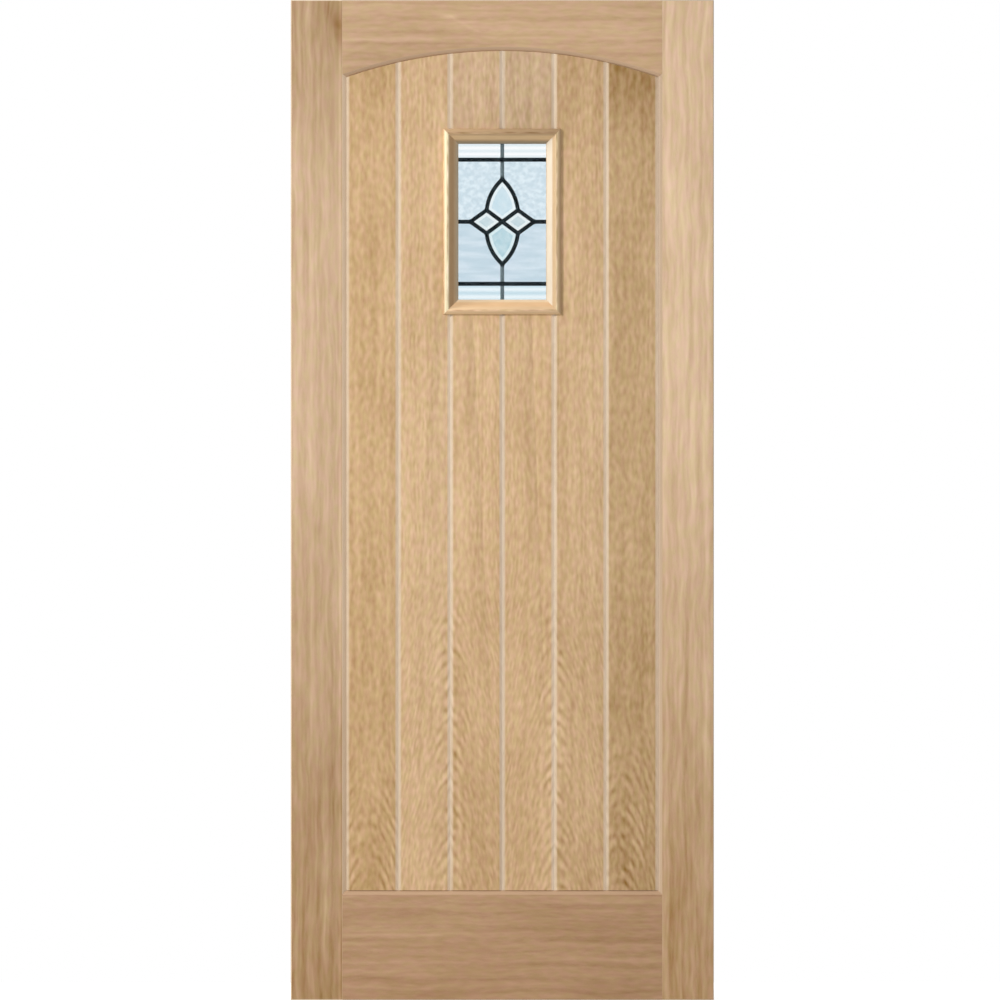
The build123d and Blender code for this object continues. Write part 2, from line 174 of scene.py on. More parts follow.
def oak_figure():
    """A node group that turns a place in the wood into its colour, roughness and relief."""
    tree = bpy.data.node_groups.new("oak figure", "ShaderNodeTree")
    plain = {
        "Across": 0.0, "Depth": 0.0, "Along": 0.0, "Facing": 1.0, "Seed": 0.0,
        "Pith across": 0.0, "Pith depth": 0.1, "Cone slope": 0.1, "Cone top": 0.7,
        "Ring width": 2.2 * MM, "Ring strength": 0.5, "Ring reach": 25 * MM,
        "Fleck width": 1.3 * MM, "Fleck length": 13 * MM, "Fleck strength": 0.5,
        "Streak width": 8 * MM, "Streak strength": 0.5, "Wander": 10 * MM,
        "Low tone": 0.0, "High tone": 0.0, "Ring hollow": 0.1 * MM, "Fibre strength": 0.1,
        "Knot across": 9.0, "Knot along": 9.0, "Knot size": 13 * MM, "Knot tone": 1.0,
        "Cut share": 1.0, "Pore strength": 0.16,
    }
    for name, value in plain.items():
        socket = tree.interface.new_socket(name, in_out="INPUT", socket_type="NodeSocketFloat")
        socket.default_value = value
    for name in ("Pale", "Dark", "Cut"):
        tree.interface.new_socket(name, in_out="INPUT", socket_type="NodeSocketColor")
    tree.interface.new_socket("Colour", in_out="OUTPUT", socket_type="NodeSocketColor")
    tree.interface.new_socket("Roughness", in_out="OUTPUT", socket_type="NodeSocketFloat")
    tree.interface.new_socket("Relief", in_out="OUTPUT", socket_type="NodeSocketFloat")

    w = Wiring(tree)
    given = tree.nodes.new("NodeGroupInput").outputs
    result = tree.nodes.new("NodeGroupOutput").inputs
    across, depth, along, seed = (given[n] for n in ("Across", "Depth", "Along", "Seed"))

    def swing(value, strength):
        """A noise as a swing about nothing."""
        return w.sum("MULTIPLY", w.sum("SUBTRACT", value, 0.5), strength)

    def grain(line, over, run, shift=0.0, thick=6 * MM):
        """A place for noise that is stretched along the grain: sizes in metres."""
        return w.vector(
            w.sum("ADD", w.sum("DIVIDE", line, over), w.sum("ADD", seed, shift)),
            w.sum("DIVIDE", depth, thick),
            w.sum("DIVIDE", along, run),
        )

    # The fibres wander a little from side to side, and flow round a knot, which has a slanting dark tail.
    bend = w.noise(w.vector(w.sum("MULTIPLY_ADD", across, 11.0, seed), w.sum("MULTIPLY", depth, 11.0),
                            w.sum("MULTIPLY", along, 5.0)), 2.0, 0.55)
    line = w.sum("ADD", across, swing(bend, given["Wander"]))
    from_knot = w.sum("SUBTRACT", across, given["Knot across"])
    above_knot = w.sum("MULTIPLY", w.sum("SUBTRACT", along, given["Knot along"]), 0.3)
    knot_far = w.sum("MULTIPLY_ADD", from_knot, from_knot, w.sum("MULTIPLY", above_knot, above_knot))
    knot_area = w.sum("MULTIPLY", given["Knot size"], given["Knot size"])
    knot = w.sum("EXPONENT", w.sum("MULTIPLY", w.sum("DIVIDE", knot_far, knot_area), -1.0))
    tail_side = w.sum("MULTIPLY_ADD", above_knot, 1.87, from_knot)
    tail_side = w.sum("DIVIDE", tail_side, w.sum("MULTIPLY", given["Knot size"], 0.8))
    tail = w.sum("EXPONENT", w.sum("MULTIPLY", w.sum("POWER", tail_side, 2.0), -1.0))
    tail = w.sum("MULTIPLY", tail, w.step(above_knot, -2 * MM, 2 * MM))
    tail = w.sum("MULTIPLY", tail, w.step(above_knot, 22 * MM, 10 * MM))
    line = w.sum("SUBTRACT", line, w.sum("MULTIPLY", from_knot, knot))

    # Rings are shells round the pith, and below the cone's top they draw together into arches.
    side = w.sum("SUBTRACT", line, given["Pith across"])
    behind = w.sum("SUBTRACT", depth, given["Pith depth"])
    radius = w.sum("SQRT", w.sum("MULTIPLY_ADD", side, side, w.sum("MULTIPLY", behind, behind)))
    below = w.sum("SMOOTH_MAX", w.sum("SUBTRACT", given["Cone top"], along), 0.0, 0.12)
    rings_at = w.sum("SUBTRACT", radius, w.sum("MULTIPLY", below, given["Cone slope"]))
    uneven = w.noise(w.vector(w.sum("MULTIPLY_ADD", across, 26.0, seed), 0.0, w.sum("MULTIPLY", along, 15.0)),
                     2.0, 0.45)
    rings_at = w.sum("ADD", rings_at, swing(uneven, 6 * MM))
    turn = w.sum("MULTIPLY", w.sum("DIVIDE", rings_at, given["Ring width"]), 2 * math.pi)
    early = w.sum("POWER", w.sum("MULTIPLY_ADD", w.sum("SINE", turn), 0.5, 0.5), 1.4)

    # The rings show most over the pith, and come and go along the board.
    near = w.sum("POWER", w.sum("DIVIDE", side, given["Ring reach"]), 2.0)
    near = w.sum("MULTIPLY", w.sum("EXPONENT", w.sum("MULTIPLY", near, -1.0)), w.step(below, 0.0, 0.16))
    hollow = w.sum("POWER", w.sum("DIVIDE", side, given["Ring hollow"]), 2.0)
    near = w.sum("MULTIPLY", near, w.sum("SUBTRACT", 1.0, w.sum("EXPONENT", w.sum("MULTIPLY", hollow, -1.0))))
    patch = w.noise(w.vector(w.sum("MULTIPLY_ADD", across, 55.0, seed), 3.0, w.sum("MULTIPLY", along, 19.0)),
                    1.5)
    shown = w.sum("MULTIPLY", w.sum("MULTIPLY_ADD", near, 0.9, 0.1), w.step(patch, 0.38, 0.62, 0.1, 1.2))
    rings = w.sum("MULTIPLY", swing(early, given["Ring strength"]), shown)

    # Flecks lie along the rings: short where the saw met them square, long where it ran beside them.
    fleck = w.noise(w.vector(w.sum("ADD", w.sum("DIVIDE", rings_at, given["Fleck width"]), seed),
                             w.sum("DIVIDE", line, 8 * MM), w.sum("DIVIDE", along, given["Fleck length"])),
                    0.5, 0.4)
    fibre = w.noise(grain(line, 1.1 * MM, 26 * MM, 7.0, 2 * MM), 2.0)
    streak = w.noise(grain(line, given["Streak width"], 0.42, 11.0, 20 * MM), 1.6, 0.5)
    cloud = w.noise(w.vector(w.sum("MULTIPLY_ADD", across, 15.0, seed), w.sum("MULTIPLY", depth, 15.0),
                             w.sum("MULTIPLY", along, 5.0)), 2.0)
    pore = w.noise(grain(line, 0.42 * MM, 7 * MM, 19.0, 0.8 * MM), 1.0)
    pore = w.sum("MULTIPLY", w.step(pore, 0.54, 0.66), w.sum("MULTIPLY_ADD", early, 0.7, 0.3))

    tone = w.sum("ADD", 0.5, swing(fleck, w.sum("MULTIPLY", given["Fleck strength"], 3.0)))
    tone = w.sum("ADD", tone, swing(fibre, given["Fibre strength"]))
    tone = w.sum("ADD", tone, swing(streak, w.sum("MULTIPLY", given["Streak strength"], 3.4)))
    tone = w.sum("ADD", tone, swing(cloud, 0.8))
    tone = w.sum("ADD", tone, rings)
    tone = w.sum("MULTIPLY_ADD", pore, given["Pore strength"], tone)
    # Low tone darkens the wood towards the bottom of the door and High tone towards its top: painted shade of
    # the light falling off.
    tone = w.sum("MULTIPLY_ADD", w.step(along, 1.25, 0.0), given["Low tone"], tone)
    tone = w.sum("MULTIPLY_ADD", w.step(along, 1.6, 1.98), given["High tone"], tone)
    tone = w.sum("MULTIPLY_ADD", w.sum("MULTIPLY_ADD", tail, 0.4, knot), given["Knot tone"], tone)

    # Cut faces, such as a V joint or a bevel, are freshly planed: paler, with the figure fainter.
    cut = w.sum("MULTIPLY", w.step(given["Facing"], 0.35, 0.5), w.step(given["Facing"], 0.985, 0.96))
    colour = w.node("ShaderNodeMix", data_type="RGBA", clamp_factor=False)
    w.feed(colour.inputs[0], tone)
    w.feed(colour.inputs[6], given["Pale"])
    w.feed(colour.inputs[7], given["Dark"])
    pink = w.noise(w.vector(w.sum("MULTIPLY_ADD", across, 95.0, seed), w.sum("MULTIPLY", depth, 60.0),
                            w.sum("MULTIPLY", along, 42.0)), 2.0)
    pinker = w.blend(1.0, colour.outputs[2], (1.03, 0.98, 1.05, 1.0), "MULTIPLY")
    yellower = w.blend(1.0, colour.outputs[2], (0.98, 1.01, 0.92, 1.0), "MULTIPLY")
    colour = w.blend(w.step(pink, 0.32, 0.68), yellower, pinker)
    planed = w.node("ShaderNodeMix", data_type="RGBA", clamp_factor=False)
    w.feed(planed.inputs[0], w.sum("MULTIPLY", w.sum("SUBTRACT", tone, 0.5), 0.25))
    w.feed(planed.inputs[6], given["Cut"])
    w.feed(planed.inputs[7], given["Dark"])
    colour = w.blend(w.sum("MULTIPLY", cut, given["Cut share"]), colour, planed.outputs[2])

    # End grain drinks more of the finish, so it is darker.
    end = w.step(given["Facing"], -0.5, -0.9)
    colour = w.blend(w.sum("MULTIPLY", end, 0.45), colour, given["Dark"], "MULTIPLY")
    w.feed(result["Colour"], colour)
    w.feed(result["Roughness"], w.sum("MULTIPLY_ADD", pore, 0.2, w.sum("MULTIPLY_ADD", fibre, 0.16, 0.44)))
    w.feed(result["Relief"], w.sum("MULTIPLY_ADD", pore, -1.0, w.sum("MULTIPLY", fibre, 0.35)))
    return tree


figure = oak_figure()
print("oak figure:", len(figure.nodes), "nodes")


# %% A finish for one piece of oak
def new_finish(name):
    """An empty finish: its material, its wiring and its shader."""
    material = bpy.data.materials.new(name)
    material.use_nodes = True
    return material, Wiring(material.node_tree), material.node_tree.nodes["Principled BSDF"]


def oak(name, tone, spread=15, grain_axis="Z", cut=(216, 190, 160), joint=None, sight=0.0, bands=(),
        **figure_values):
    """A material for one piece: its mean tone, its grain's direction, and where its pith lies.

    A joint is the face's depth, the V's depth and the tones of the V's side that looks left and of the one
    that looks right. The side that looks right is away from the low sun and takes the paler tone: painted
    light that lifts its shade. Bands are shares of the tone between two distances from a line, in
    millimetres, such as the line at the glass; on the stiles and the beads they paint highlights and shade.
    """
    material, w, shader = new_finish(name)
    place = w.node("ShaderNodeTexCoord")
    at = w.node("ShaderNodeSeparateXYZ", {0: place.outputs["Object"]}).outputs
    normal = w.node("ShaderNodeSeparateXYZ", {0: place.outputs["Normal"]}).outputs
    across, along = (at[0], at[2]) if grain_axis == "Z" else (at[2], at[0])
    end = normal[2] if grain_axis == "Z" else normal[0]
    facing = w.sum("SUBTRACT", w.sum("ABSOLUTE", normal[1]), w.step(w.sum("ABSOLUTE", end), 0.9, 0.98))
    group = w.node("ShaderNodeGroup", node_tree=figure)
    w.feed(group.inputs["Across"], across)
    w.feed(group.inputs["Depth"], at[1])
    w.feed(group.inputs["Along"], along)
    w.feed(group.inputs["Facing"], facing)
    for key, value in figure_values.items():
        group.inputs[key.replace("_", " ").capitalize()].default_value = value
    warm = (1.0, 1.05, 1.1)
    group.inputs["Pale"].default_value = linear(*(t + spread * k for t, k in zip(tone, warm)))
    group.inputs["Dark"].default_value = linear(*(t - spread * k for t, k in zip(tone, warm)))
    group.inputs["Cut"].default_value = linear(*cut)
    if joint:
        face, v_depth, sunward_side_tone, shaded_side_tone = joint
        deep = w.step(w.sum("ABSOLUTE", at[1]), face, face - v_depth)
        w.feed(group.inputs["Cut share"], w.sum("MULTIPLY_ADD", deep, 0.55, 0.45))
        # The V's side that looks right, away from the low sun, gets the paler tone: painted light that lifts
        # its shade.
        looks_away_from_sun = w.step(normal[0], -0.1, 0.1)
        w.feed(group.inputs["Cut"], w.blend(looks_away_from_sun, linear(*sunward_side_tone), linear(*shaded_side_tone)))
    colour = group.outputs["Colour"]
    out = w.sum("ABSOLUTE", w.sum("SUBTRACT", across, sight))
    for start, stop, share in bands:
        inside = w.sum("MULTIPLY", w.step(out, (start - 1.5) * MM, (start + 1.5) * MM),
                       w.step(out, (stop + 1.5) * MM, (stop - 1.5) * MM))
        colour = w.blend(inside, colour, (*share, 1.0), "MULTIPLY")
    w.feed(shader.inputs["Base Color"], colour)
    w.feed(shader.inputs["Roughness"], group.outputs["Roughness"])
    shader.inputs["Specular IOR Level"].default_value = 0.3
    w.bump(shader, group.outputs["Relief"], 0.5, 0.25 * MM)
    return material


# %% [markdown]
# ## Eased edges
#
# A joiner rubs every sharp edge once with fine paper. The eased edge is under half a millimetre, but it
# catches a line of light along each joint, and without it wood looks cut from card. Each wooden piece is
# copied, its triangles are joined into flat faces, and the edges that can be seen get a small round. The
# copy then stands in the place of the plain piece.


# %% The easing helper
def placed(name, data):
    """A new object in the scene, which holds this mesh, curve, lamp or camera."""
    made = bpy.data.objects.new(name, data)
    bpy.context.scene.collection.objects.link(made)
    return made


def eased(node, material, width=0.45 * MM, deeper_than=13.9 * MM):
    """A copy of a wooden piece with its visible edges eased, which stands for that piece."""
    mesh = bpy.data.meshes.new(node)
    form = bmesh.new()
    form.from_mesh(frame["nodes"][node].data)
    bmesh.ops.remove_doubles(form, verts=form.verts, dist=1e-6)
    flat, corner = math.radians(0.4), math.radians(18)
    bmesh.ops.dissolve_limit(form, angle_limit=flat, verts=form.verts, edges=form.edges)
    seen = [
        edge for edge in form.edges
        if edge.is_manifold and edge.calc_face_angle() > corner
        and min(abs(end.co.y) for end in edge.verts) > deeper_than
    ]
    bmesh.ops.bevel(form, geom=seen, offset=width, offset_type="OFFSET", segments=2, profile=0.5,
                    affect="EDGES", clamp_overlap=True)
    form.to_mesh(mesh)
    form.free()
    mesh.shade_smooth()
    mesh.set_sharp_from_angle(angle=math.radians(35))
    mesh.materials.clear()
    mesh.materials.append(material)
    piece = placed(node + "_eased", mesh)
    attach(piece, "root")
    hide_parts(node)
    return piece


# %% [markdown]
# ## Stiles and rails
#
# The two stiles are cut far from the pith, so their grain runs straight up in long quiet streaks. The
# rails lie across, and their grain runs with them. Oak turns paler and pinker where it has been freshly
# moulded, as on the bevels. The left stile's bevel, which looks away from the low sun, is painted paler:
# painted light. The right stile's bevel, which faces the sun, is painted darker, and the top rail's bevel
# under the arch is kept darker than the others: painted shade. A pale band on the arris beside the left
# bevel and a whiter band along the right stile's inner edge are painted highlights, and the stiles
# darken towards the bottom and the top as painted shade.

# %% The frame of the leaf
# Painted light in these values: the left stile's pale cut tone is painted light on its shaded bevel and its
# band a painted highlight on its arris; the right stile's dark cut tone is painted shade on its sunlit bevel
# and its band a painted highlight; the top rail's dark cut tone is painted shade under the arch; low and high
# tones are painted shade.
frame_oak = {
    "left_stile": dict(tone=(209, 178, 143), pith_across=-0.58, pith_depth=0.05, seed=1.3, low_tone=1.2,
                       high_tone=0.7, knot_across=-0.325, knot_along=1.926, knot_size=14 * MM,
                       knot_tone=0.8, cut=(236, 210, 180),
                       sight=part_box("left_stile")[1].x, bands=[(10.5, 15, (1.13, 1.13, 1.18))]),
    "right_stile": dict(tone=(215, 185, 151), pith_across=0.61, pith_depth=0.04, seed=8.7, low_tone=1.3,
                        high_tone=0.1, cut=(188, 162, 134), sight=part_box("right_stile")[0].x,
                        bands=[(-9, 3.5, (1.08, 1.14, 1.24))]),
    "top_rail": dict(tone=(199, 165, 129), grain_axis="X", pith_across=2.14, pith_depth=0.05, seed=4.4,
                     knot_across=1.949, knot_along=-0.104, knot_size=5 * MM, knot_tone=-0.6,
                     cut=(206, 174, 142)),
    "bottom_rail": dict(tone=(173, 138, 103), grain_axis="X", pith_across=-0.20, pith_depth=0.06, seed=6.2,
                        cut=(194, 160, 128)),
}
straight = dict(cone_slope=0.004, cone_top=2.5, ring_width=24 * MM, ring_strength=0.22, ring_reach=9.0,
                fleck_width=7.5 * MM, fleck_length=48 * MM, fleck_strength=0.26, streak_width=12 * MM,
                streak_strength=0.42, wander=24 * MM, pore_strength=0.1, fibre_strength=0.06)
quiet = dict(ring_strength=0.16, fleck_length=26 * MM, fleck_strength=0.19, streak_strength=0.34)
for node, values in frame_oak.items():
    calm = quiet if "rail" in node else {}
    material = oak("oak " + node.replace("_", " "), spread=14, **{**straight, **calm, **values})
    eased(node, material)
print("frame pieces:", len(frame_oak))

# %% [markdown]
# ## The boards
#
# The six boards come from nearer the pith. Two and two were cut side by side from one plank, so the
# arches of the grain run across the joint between them. Higher up, the rings run straight and the wood
# shows its short dark flecks. The sides of a V joint are freshly planed and pale, and their colour turns
# paler towards its bottom. The side that looks away from the low sun is painted paler than the other:
# painted light that lifts its shade. The boards' low and high tones darken them towards the bottom and
# the top: painted shade. The middle joint is a little duller than the others.

# %% The boards of the panel
board_face = -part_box("board_2")[0].y
v_depth = 2.5 * MM
# The V's tones: the side that looks left, then the paler side that looks right, away from the low sun, as
# painted light.
board_v_painted_light = (board_face, v_depth, (217, 197, 171), (234, 214, 190))
dull_middle = [(-9, 5.5, (0.91, 0.91, 0.92))]
board_oak = {
    "board_1": dict(tone=(208, 173, 128), pith_across=-0.266, seed=2.7, low_tone=0.35, high_tone=0.6,
                    cone_top=0.5, ring_width=8.5 * MM, cone_slope=0.28, ring_strength=1.15,
                    ring_reach=75 * MM, ring_hollow=24 * MM),
    "board_2": dict(tone=(214, 180, 138), pith_across=-0.103, seed=5.2, low_tone=0.15, high_tone=0.3),
    "board_3_lower": dict(tone=(211, 177, 135), pith_across=-0.103, seed=5.2, low_tone=0.45,
                          bands=dull_middle),
    "board_3_upper": dict(tone=(205, 173, 136), pith_across=-0.103, seed=5.2, bands=dull_middle),
    "board_4_lower": dict(tone=(207, 173, 131), pith_across=0.103, seed=3.9, low_tone=0.1,
                          bands=dull_middle),
    "board_4_upper": dict(tone=(198, 168, 132), pith_across=0.103, seed=3.9, bands=dull_middle),
    "board_5": dict(tone=(205, 172, 131), pith_across=0.103, seed=3.9, low_tone=0.3, high_tone=0.65),
    "board_6": dict(tone=(192, 160, 118), pith_across=0.231, seed=7.6, low_tone=0.5, high_tone=1.5,
                    cone_top=0.54, ring_width=8.5 * MM, cone_slope=0.28, ring_strength=1.1,
                    ring_reach=60 * MM, ring_hollow=6 * MM),
}
arched = dict(cone_top=0.84, pith_depth=0.035, cone_slope=0.2, ring_width=5.8 * MM, ring_strength=1.0,
              ring_reach=24 * MM, fleck_width=6.6 * MM, fleck_length=17 * MM, fleck_strength=0.42,
              streak_width=14 * MM, streak_strength=0.3, wander=16 * MM, pore_strength=0.1,
              fibre_strength=0.06, joint=board_v_painted_light)
for node, values in board_oak.items():
    eased(node, oak("oak " + node.replace("_", " "), spread=15, **{**arched, **values}))
print("boards:", len(board_oak))

# %% [markdown]
# ## The beads around the window
#
# Four lengths of moulded oak, mitred at the corners, hold the glass on each face. Their grain runs along
# each length, so the upright ones and the level ones need the grain turned. Bands across each bead, at
# set distances out from the glass, are painted light: painted highlights on the crests and slopes that
# face the light, painted shade on those that face away, and a painted shadow along the glass under the
# top bead.

# %% The beads
bead_tones = {
    "bottom": (214, 181, 141), "left": (190, 162, 126), "top": (192, 161, 123), "right": (188, 160, 124),
}
# Each band is painted light or shade: from and to how many millimetres out from the glass, and the share of
# the tone.
bead_painted_light = {
    "bottom": [(-9, 5, (1.14, 1.24, 1.4)), (5, 14, (1.06, 1.0, 0.95)), (27, 40, (1.2, 1.24, 1.2))],
    "left": [(19, 27, (1.42, 1.7, 1.95)), (9, 17, (0.86, 0.78, 0.7)), (-9, 5, (1.0, 1.14, 1.36))],
    "top": [(8, 16, (1.36, 1.4, 1.38)), (20, 40, (0.77, 0.74, 0.72)), (-9, 5, (0.66, 0.76, 0.88))],
    "right": [(1, 12, (1.28, 1.56, 2.1)), (18, 25, (1.12, 1.16, 1.16))],
}
turned = dict(pith_depth=0.08, cone_slope=0.003, cone_top=2.5, ring_width=2.4 * MM, ring_strength=0.25,
              fleck_width=4 * MM, fleck_length=22 * MM, fleck_strength=0.8, streak_width=6 * MM,
              streak_strength=0.8, wander=4 * MM)
for face, shift in (("front", 0.0), ("rear", 5.3)):
    for number, (side, tone) in enumerate(bead_tones.items()):
        axis = "Z" if side in ("left", "right") else "X"
        low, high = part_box(f"{face}_bead_{side}")
        sight = {"left": high.x, "right": low.x, "top": low.z, "bottom": high.z}[side]
        material = oak(
            f"oak {face} bead {side}", tone, spread=17, grain_axis=axis, cut=tone, sight=sight,
            bands=bead_painted_light[side], pith_across=(0.25, 1.2)[axis == "X"], seed=2.1 * number + shift, **turned,
        )
        eased(f"{face}_bead_{side}", material, width=0.3 * MM)
print("beads: 8")

# %% [markdown]
# ## The lead net
#
# Lead came is a bar with an H section: two faces joined by a thin heart, with the glass held between the
# faces. The maker bends and cuts it along the pattern and solders each joint. So the net is drawn here as
# lines, a node tree gives every line the section of the came, with gently rounded faces, and another tree
# finds each place where lines meet or end and drops solder on it.

# %% The pattern as lines
low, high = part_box("lead_cames")
window = (low + high) / 2
half_x, half_z = (high.x - low.x) / 2, (high.z - low.z) / 2
bar, tip, knot_x, knot_z, corner = 123 * MM, 84 * MM, 31 * MM, 23 * MM, 63 * MM
petal_bow = 6.5 * MM
face_width, stem_width = 8 * MM, 7.5 * MM


def bowed(start, end, bow, steps=14):
    """Points along a shallow curve between two ends, bowed to its right."""
    chord = Vector(end) - Vector(start)
    out = Vector((chord.y, -chord.x)).normalized()
    points = []
    for step in range(steps + 1):
        t = step / steps
        points.append(Vector(start) + chord * t + out * bow * 4 * t * (1 - t))
    return [tuple(p) for p in points]


figure_lines, stem_lines = [], []
for sx in (-1, 1):
    figure_lines.append([(sx * corner, 0), (sx * half_x, 0)])
    for sz in (-1, 1):
        knot = (sx * knot_x, sz * knot_z)
        figure_lines.append([(0, 0), knot])
        figure_lines.append([knot, (sx * corner, 0)])
        figure_lines.append([(0, sz * bar), (sx * half_x, sz * bar)])
        figure_lines.append(bowed(knot, (0, sz * tip), sx * sz * petal_bow))
for sz in (-1, 1):
    stem_lines.append([(0, sz * tip), (0, sz * bar)])
    stem_lines.append([(0, sz * bar), (0, sz * half_z)])
edge_x, edge_z = half_x - face_width / 2, half_z - face_width / 2
border_lines = [[(s * edge_x, -half_z), (s * edge_x, half_z)] for s in (-1, 1)]
border_lines += [[(-half_x, s * edge_z), (half_x, s * edge_z)] for s in (-1, 1)]
print("lead lines:", len(figure_lines), "figure,", len(stem_lines), "stem,", len(border_lines), "border")


# %% Helpers for node trees that make meshes
def new_tree(name, numbers):
    """A geometry tree with one geometry input and the named sizes as inputs."""
    tree = bpy.data.node_groups.new(name, "GeometryNodeTree")
    tree.interface.new_socket("Geometry", in_out="INPUT", socket_type="NodeSocketGeometry")
    for label, value in numbers.items():
        socket = tree.interface.new_socket(label, in_out="INPUT", socket_type="NodeSocketFloat")
        socket.default_value = value
    tree.interface.new_socket("Material", in_out="INPUT", socket_type="NodeSocketMaterial")
    tree.interface.new_socket("Geometry", in_out="OUTPUT", socket_type="NodeSocketGeometry")
    return tree, tree.nodes.new("NodeGroupInput").outputs, tree.nodes.new("NodeGroupOutput").inputs


def drawn(name, lines):
    """Lines on the flat, as one curve object."""
    data = bpy.data.curves.new(name, "CURVE")
    data.dimensions = "3D"
    for line in lines:
        spline = data.splines.new("POLY")
        spline.points.add(len(line) - 1)
        for point, (x, z) in zip(spline.points, line):
            point.co = (x, z, 0.0, 1.0)
    return placed(name, data)


def run_tree(source, tree, values):
    """The plain mesh that a tree makes from an object. The object itself is removed."""
    modifier = source.modifiers.new(tree.name, "NODES")
    modifier.node_group = tree
    for item in tree.interface.items_tree:
        if item.in_out == "INPUT" and item.name in values:
            modifier[item.identifier] = values[item.name]
    source.update_tag()
    seen = source.evaluated_get(bpy.context.evaluated_depsgraph_get())
    mesh = bpy.data.meshes.new_from_object(seen)
    bpy.data.objects.remove(source)
    return mesh


# %% The came's tree: an H section with rounded faces along each line
def came_tree():
    tree, given, result = new_tree(
        "came", {"Face width": face_width, "Heart width": 1.6 * MM, "Glass half": 2 * MM, "Dome": 1.2 * MM}
    )
    w = Wiring(tree)
    circle = w.node("GeometryNodeCurvePrimitiveCircle", {"Resolution": 20, "Radius": 1.0}, mode="RADIUS")
    at = w.node("ShaderNodeSeparateXYZ", {0: w.node("GeometryNodeInputPosition").outputs[0]}).outputs
    sections = w.node("GeometryNodeJoinGeometry")
    for side in (1.0, -1.0):
        x = w.sum("MULTIPLY", at[0], w.sum("MULTIPLY", given["Face width"], 0.5))
        rise = w.sum("MULTIPLY", w.sum("MAXIMUM", at[1], 0.0), given["Dome"])
        y = w.sum("MULTIPLY", w.sum("ADD", rise, given["Glass half"]), side)
        shaped = w.node("GeometryNodeSetPosition",
                        {"Geometry": circle.outputs[0], "Position": w.vector(x, y, 0.0)})
        tree.links.new(shaped.outputs[0], sections.inputs[0])
    heart = w.node("GeometryNodeCurvePrimitiveQuadrilateral")
    w.feed(heart.inputs["Width"], given["Heart width"])
    w.feed(heart.inputs["Height"], w.sum("MULTIPLY", given["Glass half"], 2.05))
    tree.links.new(heart.outputs[0], sections.inputs[0])
    flat = w.node("GeometryNodeSetCurveNormal", {"Curve": given["Geometry"]}, mode="Z_UP")
    body = w.node("GeometryNodeCurveToMesh",
                  {"Curve": flat.outputs[0], "Profile Curve": sections.outputs[0], "Fill Caps": True})
    up = w.node("GeometryNodeTransform", {"Geometry": body.outputs[0], "Rotation": (math.pi / 2, 0, 0),
                                          "Translation": tuple(window)})
    real = w.node("GeometryNodeRealizeInstances", {0: up.outputs[0]})
    named = w.node("GeometryNodeSetMaterial", {"Geometry": real.outputs[0]})
    w.feed(named.inputs["Material"], given["Material"])
    w.feed(result[0], named.outputs[0])
    return tree


came = came_tree()
print("came tree:", len(came.nodes), "nodes")


# %% The solder's tree: a soft drop wherever lines meet or end
def solder_tree():
    tree, given, result = new_tree("solder", {"Radius": 5.2 * MM, "Proud": 3.45 * MM, "Level": 2.2 * MM})
    w = Wiring(tree)
    wire = w.node("GeometryNodeCurveToMesh", {"Curve": given["Geometry"]})
    joined = w.node("GeometryNodeMergeByDistance", {"Geometry": wire.outputs[0], "Distance": 0.2 * MM})
    meets = w.node("GeometryNodeInputMeshVertexNeighbors").outputs["Vertex Count"]
    joint = w.node("FunctionNodeCompare", data_type="INT", operation="NOT_EQUAL")
    w.feed(joint.inputs[2], meets)
    joint.inputs[3].default_value = 2
    spots = w.node("GeometryNodeMeshToPoints", {"Mesh": joined.outputs[0], "Selection": joint.outputs[0]})
    ball = w.node("GeometryNodeMeshUVSphere", {"Segments": 20, "Rings": 12, "Radius": 1.0})
    size = w.vector(given["Radius"], given["Radius"], given["Proud"])
    drop = w.node("GeometryNodeTransform", {"Geometry": ball.outputs[0], "Scale": size})
    chance = w.node("FunctionNodeRandomValue", data_type="FLOAT")
    for name, value in (("Min", 0.92), ("Max", 1.08), ("Seed", 4)):
        socket = next(s for s in chance.inputs if s.name == name and s.enabled)
        socket.default_value = value
    stretch = next(s for s in chance.outputs if s.enabled)
    drops = w.node("GeometryNodeInstanceOnPoints", {
        "Points": spots.outputs[0], "Instance": drop.outputs[0],
        "Scale": w.vector(stretch, w.sum("SUBTRACT", 2.0, stretch), 1.0)})
    real = w.node("GeometryNodeRealizeInstances", {0: drops.outputs[0]})
    up = w.node("GeometryNodeTransform", {"Geometry": real.outputs[0], "Rotation": (math.pi / 2, 0, 0),
                                          "Translation": tuple(window)})
    smooth = w.node("GeometryNodeSetShadeSmooth", {"Geometry": up.outputs[0]})
    named = w.node("GeometryNodeSetMaterial", {"Geometry": smooth.outputs[0]})
    w.feed(named.inputs["Material"], given["Material"])
    w.feed(result[0], named.outputs[0])
    return tree


solder = solder_tree()
print("solder tree:", len(solder.nodes), "nodes")


